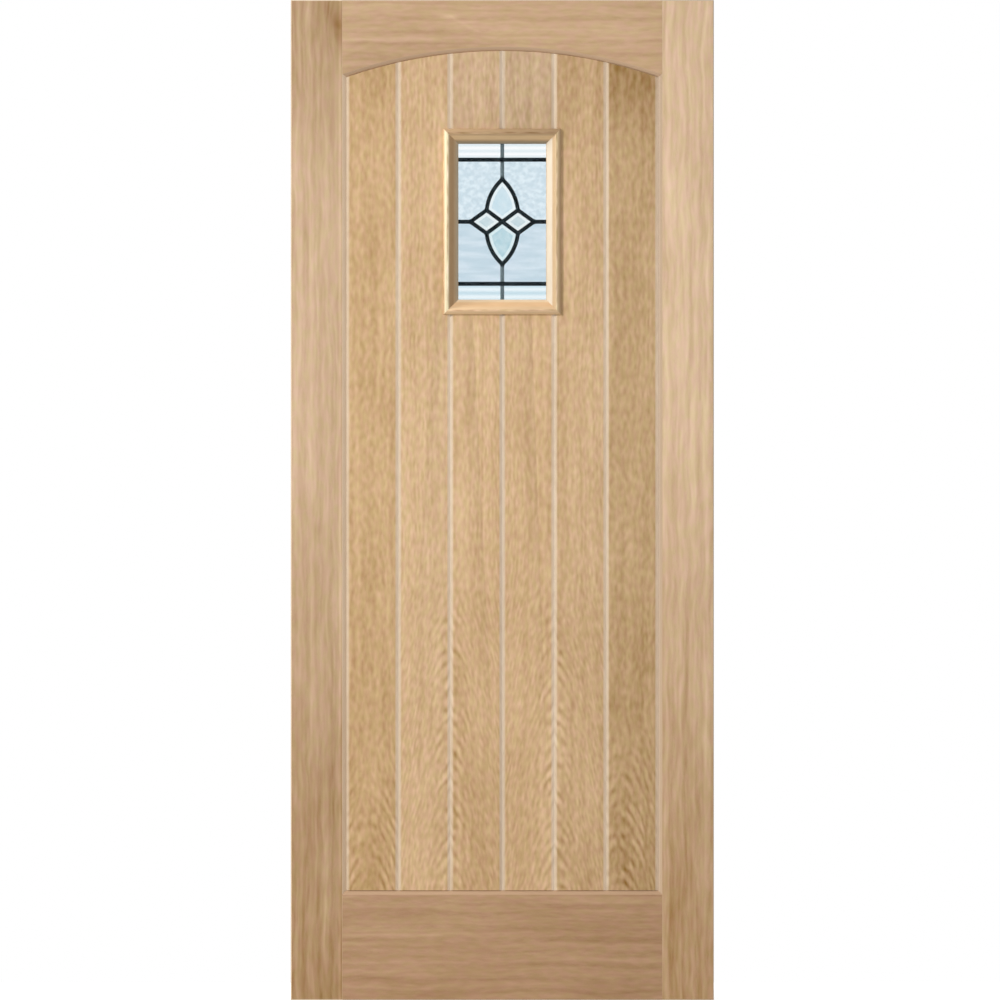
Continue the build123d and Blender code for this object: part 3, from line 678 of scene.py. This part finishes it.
# %% The lead's finish: a dark patina, rubbed paler on the high parts
def lead_finish():
    """Dark lead, with the two upright stems at the top and the bottom a paler grey."""
    material, w, shader = new_finish("patinated lead")
    place = w.node("ShaderNodeTexCoord").outputs["Object"]
    at = w.node("ShaderNodeSeparateXYZ", {0: place}).outputs
    grain = w.noise(w.node("ShaderNodeVectorMath", {0: place, 1: (900, 900, 900)},
                           operation="MULTIPLY").outputs[0], 3.0, 0.6)
    cloud = w.noise(w.node("ShaderNodeVectorMath", {0: place, 1: (70, 70, 70)},
                           operation="MULTIPLY").outputs[0], 2.0)
    high = w.step(w.sum("ABSOLUTE", at[1]), 2.9 * MM, 3.3 * MM)
    rubbed = w.sum("MULTIPLY", high, w.step(cloud, 0.35, 0.75))
    colour = w.blend(w.step(grain, 0.3, 0.7), linear(14, 23, 27), linear(26, 38, 44))
    colour = w.blend(w.sum("MULTIPLY", rubbed, 0.3), colour, linear(60, 76, 82))
    from_middle = w.sum("ABSOLUTE", w.sum("SUBTRACT", at[2], window.z))
    from_bar = w.sum("ABSOLUTE", w.sum("SUBTRACT", from_middle, bar))
    stem = w.sum("MULTIPLY", w.step(w.sum("ABSOLUTE", at[0]), 5 * MM, 4.2 * MM),
                 w.step(from_middle, tip + 2 * MM, tip + 8 * MM))
    stem = w.sum("MULTIPLY", stem, w.step(from_bar, 3.6 * MM, 5 * MM))
    grey = w.blend(w.step(grain, 0.3, 0.7), linear(92, 107, 112), linear(116, 131, 137))
    colour = w.blend(stem, colour, grey)
    w.feed(shader.inputs["Base Color"], colour)
    w.feed(shader.inputs["Roughness"], w.sum("MULTIPLY_ADD", grain, 0.3, 0.34))
    shader.inputs["Metallic"].default_value = 0.6
    shader.inputs["Specular IOR Level"].default_value = 0.15
    w.bump(shader, grain, 0.35, 0.2 * MM)
    return material


lead = lead_finish()


# %% The net, made from the lines
def one_mesh(name, meshes):
    """Several meshes joined as one object, with no hidden doubles of their data left."""
    form = bmesh.new()
    for mesh in meshes:
        form.from_mesh(mesh)
        bpy.data.meshes.remove(mesh)
    for face in form.faces:
        face.material_index = 0
    made = bpy.data.meshes.new(name)
    form.to_mesh(made)
    form.free()
    made.materials.append(lead)
    made.shade_smooth()
    made.set_sharp_from_angle(angle=math.radians(40))
    return placed(name, made)


parts = [
    run_tree(drawn("figure lines", figure_lines), came, {"Face width": face_width, "Material": lead}),
    run_tree(drawn("stem lines", stem_lines), came, {"Face width": stem_width, "Dome": 1.1 * MM,
                                                     "Material": lead}),
    run_tree(drawn("border lines", border_lines), came, {"Face width": face_width, "Material": lead}),
    run_tree(drawn("joints", figure_lines + stem_lines), solder, {"Material": lead}),
]
net = one_mesh("lead_net", parts)
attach(net, "root")
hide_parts("lead_cames")
print("lead net:", len(net.data.polygons), "faces")

# %% [markdown]
# ## Glass
#
# Five kinds of glass meet in the window. The outer panes are clear. Inside, the two upper quarters are
# rolled glass with fine soft cells and the two lower ones have level ripples. The strips at the top and
# bottom are lightly reeded, and the petals and diamonds are thick polished pieces with a wide bevel. All
# of them are clear bodies that bend light, and differ in tint and relief. The tint is deeper where the
# glass is thicker. The outer panes bend light only a little, so that their gloss doesn't veil the lead.


# %% Glass finishes
def glass(name, thin, deep, pattern, relief, bend=1.45):
    """A clear glass. The pattern gives its depth of tint, from 0 to 1, and its relief in millimetres."""
    material, w, shader = new_finish(name)
    coordinates = w.node("ShaderNodeTexCoord")
    at = w.node("ShaderNodeSeparateXYZ", {0: coordinates.outputs["Object"]}).outputs
    normal = w.node("ShaderNodeSeparateXYZ", {0: coordinates.outputs["Normal"]}).outputs
    depth, height = pattern(w, at, normal)
    w.feed(shader.inputs["Base Color"], w.blend(depth, linear(*thin), linear(*deep)))
    shader.inputs["Roughness"].default_value = 0.0
    shader.inputs["IOR"].default_value = bend
    shader.inputs["Transmission Weight"].default_value = 1.0
    if relief:
        w.bump(shader, height, 1.0, relief * MM)
    return material


def scaled(w, at, x, y, z):
    """The place, stretched by a number in each direction."""
    return w.vector(w.sum("MULTIPLY", at[0], x), w.sum("MULTIPLY", at[1], y), w.sum("MULTIPLY", at[2], z))


def rolled(w, at, normal):
    """Small soft hammered cells, in drifts."""
    cells = w.noise(scaled(w, at, 90, 60, 100), 1.0, 0.4)
    drift = w.noise(scaled(w, at, 30, 10, 30), 1.0)
    depth = w.sum("ADD", w.sum("MULTIPLY", w.step(cells, 0.3, 0.7), 0.9), w.sum("MULTIPLY", drift, 0.5))
    return depth, cells


def rippled(w, at, normal):
    """Soft level ripples with a little hammering between them."""
    ripple = w.noise(scaled(w, at, 16, 20, 85), 1.0, 0.4)
    cells = w.noise(scaled(w, at, 110, 60, 120), 1.0, 0.4)
    depth = w.sum("MULTIPLY_ADD", w.step(ripple, 0.3, 0.7), 0.9, w.sum("MULTIPLY", cells, 0.4))
    return depth, w.sum("ADD", ripple, w.sum("MULTIPLY", cells, 0.4))


def reeded(pale_at, apart):
    """Soft level reeds: the height of one pale reed over the window's middle, and the way to the next."""
    def pattern(w, at, normal):
        turn = w.sum("MULTIPLY", w.sum("SUBTRACT", at[2], window.z + pale_at), 2 * math.pi / apart)
        height = w.sum("MULTIPLY_ADD", w.sum("COSINE", turn), -0.5, 0.5)
        return w.sum("MULTIPLY", height, 0.8), height
    return pattern


def bevelled(w, at, normal):
    """Full tint behind the flat middle, little behind the thinner bevel."""
    flat = w.step(w.sum("ABSOLUTE", normal[1]), 0.965, 0.995)
    cloud = w.noise(scaled(w, at, 60, 20, 60), 1.0)
    return w.sum("MULTIPLY", flat, w.sum("MULTIPLY_ADD", cloud, 0.6, 0.6)), cloud


def floated(w, at, normal):
    """Almost flat, with the faintest drift."""
    drift = w.noise(scaled(w, at, 12, 12, 12), 1.0)
    return drift, drift


top_reeds, low_reeds = reeded(146 * MM, 12 * MM), reeded(-134 * MM, 15 * MM)
glass_finishes = {
    "glass_pane_upper": glass("rolled glass", (230, 242, 250), (204, 221, 232), rolled, 0.08),
    "glass_pane_lower": glass("rippled glass", (216, 229, 240), (196, 215, 228), rippled, 0.08),
    "glass_strip_top": glass("reeded glass upper", (251, 252, 255), (222, 234, 240), top_reeds, 0.15),
    "glass_strip_bottom": glass("reeded glass lower", (235, 245, 251), (190, 217, 230), low_reeds, 0.15),
    "glass_petal_upper": glass("bevelled glass petal", (255, 255, 255), (200, 223, 235), bevelled, 0),
    "glass_petal_lower": glass("bevelled glass petal lower", (253, 255, 255), (177, 209, 221), bevelled, 0),
    "glass_diamond": glass("bevelled glass diamonds", (255, 255, 255), (196, 215, 223), bevelled, 0),
    "front_pane": glass("clear glass", (255, 255, 255), (253, 255, 254), floated, 0, bend=1.12),
    "rear_pane": glass("clear glass behind", (255, 255, 255), (253, 255, 254), floated, 0, bend=1.12),
}


def finish(node, material):
    """Give a carried-over piece its finish."""
    mesh = frame["nodes"][node].data
    mesh.materials.clear()
    mesh.materials.append(material)


panes = 0
for node in frame["nodes"]:
    for start, material in glass_finishes.items():
        if node.startswith(start):
            finish(node, material)
            panes += 1
print("pieces of glass:", panes)

# %% [markdown]
# ## The pieces inside the window
#
# Little of these shows, but a look along the edge of the glass finds them: bright spacer bars, black
# sealant, pale foam tape, dark setting blocks and the steel pins of the beads. Each gets the grain that
# its own stuff has.


# %% Plain finishes with a fine grain
def plain_finish(name, pale, dark, stretch, roughness, relief=0.05, metallic=0.0):
    """A finish with one noise in its tone, gloss and relief. The stretch is cells a metre in x, y and z."""
    material, w, shader = new_finish(name)
    at = w.node("ShaderNodeSeparateXYZ", {0: w.node("ShaderNodeTexCoord").outputs["Object"]}).outputs
    grain = w.noise(scaled(w, at, *stretch), 3.0, 0.6)
    w.feed(shader.inputs["Base Color"], w.blend(w.step(grain, 0.3, 0.7), linear(*pale), linear(*dark)))
    w.feed(shader.inputs["Roughness"], w.sum("MULTIPLY_ADD", grain, 0.2, roughness - 0.1))
    shader.inputs["Metallic"].default_value = metallic
    w.bump(shader, grain, 0.5, relief * MM)
    return material


inner = {
    "spacer": plain_finish("spacer bar", (205, 207, 210), (184, 187, 190), (300, 2000, 300), 0.35,
                           metallic=1.0),
    "seal": plain_finish("edge sealant", (30, 30, 32), (18, 18, 20), (400, 400, 400), 0.6, 0.2),
    "tape": plain_finish("foam tape", (222, 222, 216), (198, 198, 192), (1500, 1500, 1500), 0.9, 0.1),
    "blocks": plain_finish("glazing block", (34, 36, 38), (24, 26, 28), (700, 700, 700), 0.5, 0.05),
    "pins": plain_finish("pin steel", (190, 190, 192), (160, 160, 164), (900, 60, 900), 0.3, 0.02, 1.0),
}
inner_finishes = {
    "_spacer": inner["spacer"], "edge_seal": inner["seal"], "_glazing_tape": inner["tape"],
    "_blocks": inner["blocks"], "_bead_pins": inner["pins"],
}
for node in frame["nodes"]:
    for end, material in inner_finishes.items():
        if node.endswith(end):
            finish(node, material)
print("inner finishes:", len(inner_finishes))

# %% [markdown]
# ## Floor, light and camera
#
# The picture has a pure white ground. The world is white to the camera, to reflections and to what is
# seen through glass, but gives only part of the light, so that the wood isn't washed out. A low sun from
# the left models the joints, and a soft lamp in front lights the upper half a little more. A soft lamp
# behind shows the rear face. Neither soft lamp is seen by the camera or through the glass. A small raking
# lamp, flagged so that only the beads catch it, draws their mouldings, as a photographer would.
# The floor is a pale sheet that keeps the door's shadow.


# %% The floor
def floor_sheet(width, front, back):
    corners = [(-width, front, 0), (width, front, 0), (width, back, 0), (-width, back, 0)]
    mesh = bpy.data.meshes.new("floor")
    mesh.from_pydata(corners, [], [(0, 1, 2, 3)])
    piece = placed("floor", mesh)
    material, w, shader = new_finish("pale floor")
    shader.inputs["Base Color"].default_value = (0.80, 0.80, 0.80, 1)
    shader.inputs["Roughness"].default_value = 0.9
    shader.inputs["Emission Color"].default_value = (1, 1, 1, 1)
    camera_ray = w.node("ShaderNodeLightPath").outputs["Is Camera Ray"]
    w.feed(shader.inputs["Emission Strength"], w.sum("MULTIPLY", camera_ray, 0.5))
    mesh.materials.append(material)
    return piece


floor_sheet(1.6, -1.4, 1.4)


# %% The world and the lamps
def white_world(ambient):
    """A world that is white where it is seen and dimmer where it only gives light."""
    world = bpy.data.worlds.new("white studio")
    bpy.context.scene.world = world
    world.use_nodes = True
    w = Wiring(world.node_tree)
    rays = w.node("ShaderNodeLightPath").outputs
    seen = w.sum("MAXIMUM", w.sum("MAXIMUM", rays["Is Camera Ray"], rays["Is Glossy Ray"]),
                 rays["Is Transmission Ray"])
    ground = world.node_tree.nodes["Background"]
    ground.inputs["Color"].default_value = (1, 1, 1, 1)
    w.feed(ground.inputs["Strength"], w.sum("MULTIPLY_ADD", seen, 1.0 - ambient, ambient))


def lamp(name, kind, energy, place, target, **settings):
    """A lamp of this kind, standing at a place and turned to a target."""
    light = bpy.data.lights.new(name, kind)
    light.energy = energy
    for setting, value in settings.items():
        setattr(light, setting, value)
    made = placed(name, light)
    made.location = place
    made.rotation_euler = (Vector(target) - Vector(place)).to_track_quat("-Z", "Y").to_euler()
    return made


white_world(0.49)
azimuth, elevation = math.radians(-48), math.radians(25)
towards = Vector((math.sin(azimuth) * math.cos(elevation), -math.cos(azimuth) * math.cos(elevation),
                  math.sin(elevation)))
lamp("low sun", "SUN", 1.82, towards * 6, (0, 0, 0), angle=math.radians(7))
soft = lamp("front softbox", "AREA", 6, (0.4, -2.1, 1.5), (0, 0, 1.4), shape="RECTANGLE", size=1.2,
            size_y=1.0)
soft.visible_camera = soft.visible_glossy = soft.visible_transmission = False
fill = lamp("rear softbox", "AREA", 24, (0.5, 2.5, 1.5), (0, 0, 1.1), shape="RECTANGLE", size=1.8,
            size_y=2.2)
fill.visible_camera = fill.visible_glossy = fill.visible_transmission = False
print("sun from", [round(v, 2) for v in towards], "and two softboxes")

# %% The raking lamp, for the beads alone
rake = lamp("raking lamp", "AREA", 19, (-1.4, -0.17, 2.05), (0, -0.02, 1.542), shape="DISK", size=0.25)
rake.visible_glossy = False
lit = bpy.data.collections.new("lit by the raking lamp")
for piece in bpy.data.objects:
    if "_bead_" in piece.name and piece.name.endswith("_eased"):
        lit.objects.link(piece)
rake.light_linking.receiver_collection = lit

# %% The camera, straight on and far away
camera_data = bpy.data.cameras.new("camera")
camera = placed("camera", camera_data)
distance, aside, sensor = 40.0, -4.5 * MM, 36
door_height = cad_box[1][2] - cad_box[0][2]
stile_face = -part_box("left_stile")[0].y
camera_data.sensor_width = sensor
camera_data.lens = sensor * (distance - stile_face) / door_height
camera_data.clip_end = 200
camera.location = (aside, -distance, door_height / 2)
camera.rotation_euler = (math.pi / 2, 0, 0)
bpy.context.scene.camera = camera
bpy.context.scene.view_settings.view_transform = "Standard"
print("lens:", round(camera_data.lens), "mm")
